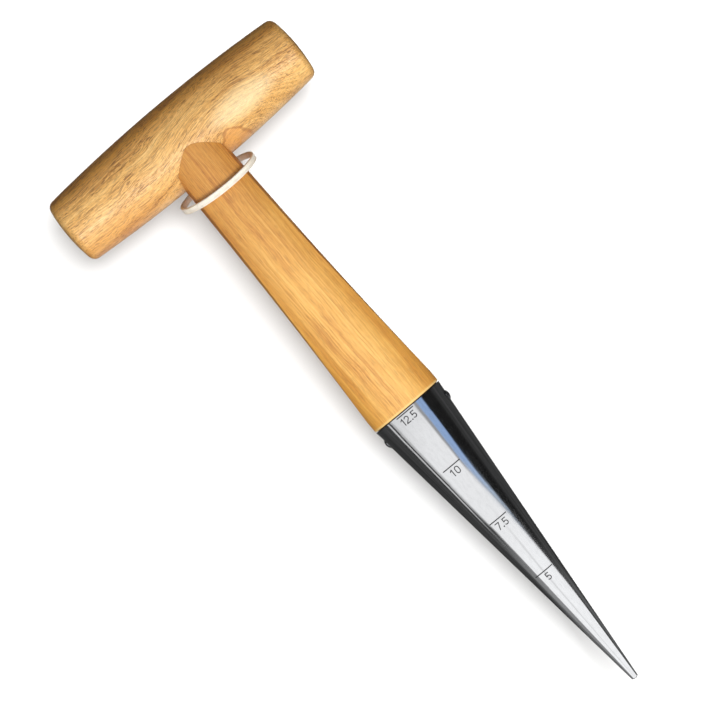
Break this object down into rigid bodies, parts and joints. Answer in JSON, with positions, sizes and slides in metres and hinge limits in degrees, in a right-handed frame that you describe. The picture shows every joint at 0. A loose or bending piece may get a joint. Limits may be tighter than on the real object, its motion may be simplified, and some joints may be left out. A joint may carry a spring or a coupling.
{
  "type": "planting dibber",
  "caption": "T-handled planting dibber: a barrel-shaped hardwood crossbar on a scooped hardwood neck, pinned into a hollow steel cone with a depth scale, and a loose nylon tie round the neck.",
  "frame": {"origin": "centre of the small flat on the cone's tip", "axes": "+Z from the tip up the neck, +X along the crossbar to the right of someone facing the depth scale, -Y out of the side with the depth scale"},
  "size_m": [0.1064, 0.036, 0.2663],
  "materials": {
    "crossbar_wood": "satin lacquer over open-pored straight grain",
    "neck_wood": "satin lacquer over fine straight grain",
    "dowel_wood": "bare, glued",
    "cone_steel": "polished stainless sheet with fine rubbed lines",
    "nail_steel": "bright",
    "mark_fill": "dark engraved fill",
    "tie_nylon": "natural nylon, cross-ribbed"
  },
  "bodies": {
    "dibber": {"crossbar": "crossbar_wood", "neck": "neck_wood", "neck_dowel": "dowel_wood", "cone": "cone_steel", "cone_nails": "nail_steel", "depth_lines": "mark_fill", "depth_numerals": "mark_fill"},
    "tie": {"neck_tie": "tie_nylon"}
  },
  "joints": [
    {"name": "tie_slide", "type": "slide", "parent": "dibber", "child": "tie", "axis": [0, 0, 1], "range_m": [-0.1053, 0.0022]}
  ]
}
